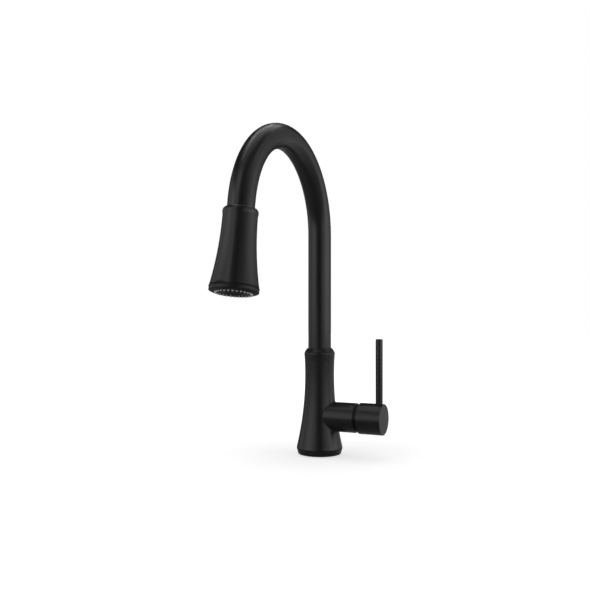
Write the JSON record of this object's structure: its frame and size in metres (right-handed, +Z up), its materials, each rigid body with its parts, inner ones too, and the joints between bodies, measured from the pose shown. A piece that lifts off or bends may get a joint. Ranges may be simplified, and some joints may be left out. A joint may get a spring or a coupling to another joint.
{
  "type": "pull-down kitchen faucet",
  "caption": "Single-handle kitchen faucet with a flared body, a swivelling high-arc neck and a flared pull-down spray wand, on a threaded deck shank.",
  "frame": {"origin": "on the deck, at the middle of the foot, where the shank's axis meets the deck's top face", "axes": "+Z up; the wand hangs on the -Y side; the handle points along +X"},
  "size_m": [0.111, 0.2667, 0.4835],
  "materials": {
    "matte_black": "matte",
    "lever_black": "matte",
    "black_plastic": "satin",
    "grey_plastic": "satin",
    "white_plastic": "smooth",
    "silicone": "soft",
    "rubber": "soft",
    "brass": "machined",
    "steel": "machined",
    "hose_braid": "woven nylon"
  },
  "bodies": {
    "body": {"base_ring": "matte_black", "base_gasket": "rubber", "shank": "brass", "body_shell": "matte_black", "valve_block": "brass", "block_screws": "steel", "outlet_pipe": "brass", "cartridge_housing": "black_plastic", "cartridge_base": "white_plastic", "port_seals": "rubber", "fixed_disc": "white_plastic", "cartridge_nut": "brass", "upper_bush": "grey_plastic", "lower_bush": "grey_plastic"},
    "clamp": {"rubber_washer": "rubber", "steel_washer": "steel", "mounting_nut": "brass", "nut_screws": "steel"},
    "spout": {"spout_tube": "matte_black", "spout_collar": "matte_black", "retaining_ring": "steel", "dock_bush": "grey_plastic", "spray_hose": "hose_braid", "hose_tail": "brass"},
    "wand": {"wand_shell": "matte_black", "wand_collar": "matte_black", "wand_core": "black_plastic", "core_seal": "rubber", "hose_nut": "brass", "check_valve": "white_plastic", "inlet_strainer": "steel", "ring_clip": "steel"},
    "spray_face": {"turning_ring": "matte_black", "selector_disc": "grey_plastic", "nozzle_pad": "silicone", "face_plate": "black_plastic", "aerator_shell": "black_plastic", "aerator_mesh": "black_plastic"},
    "rotor": {"cartridge_rotor": "grey_plastic", "tilt_pin": "steel"},
    "discs": {"disc_carrier": "grey_plastic", "moving_disc": "white_plastic"},
    "handle": {"cartridge_stem": "steel", "handle_cap": "matte_black", "lever_rod": "lever_black", "set_screw": "steel", "screw_plug": "black_plastic"}
  },
  "joints": [
    {"name": "spout_swivel", "type": "hinge", "parent": "body", "child": "spout", "pos_m": [0, 0, 0.1], "axis": [0, 0, 1], "continuous": true},
    {"name": "wand_pull", "type": "slide", "parent": "spout", "child": "wand", "axis": [0, -0.1702, -0.9854], "range_m": [0, 0.18], "deforming": ["spray_hose"]},
    {"name": "ring_turn", "type": "hinge", "parent": "wand", "child": "spray_face", "pos_m": [0, -0.21301, 0.20076], "axis": [0, -0.1702, -0.9854], "range_deg": [0, 45]},
    {"name": "handle_turn", "type": "hinge", "parent": "body", "child": "rotor", "pos_m": [0.03, 0, 0.046], "axis": [1, 0, 0], "range_deg": [-45, 45]},
    {"name": "handle_lift", "type": "hinge", "parent": "rotor", "child": "handle", "pos_m": [0.03, 0, 0.046], "axis": [0, 1, 0], "range_deg": [0, 20]},
    {"name": "disc_slide", "type": "slide", "parent": "rotor", "child": "discs", "axis": [0, 0, 1], "range_m": [0, 0.0022]},
    {"name": "clamp_off", "type": "slide", "parent": "body", "child": "clamp", "axis": [0, 0, -1], "range_m": [0, 0.12]}
  ],
  "couplings": [
    {"joint": "disc_slide", "follows": "handle_lift", "m_per_rad": 0.006}
  ]
}
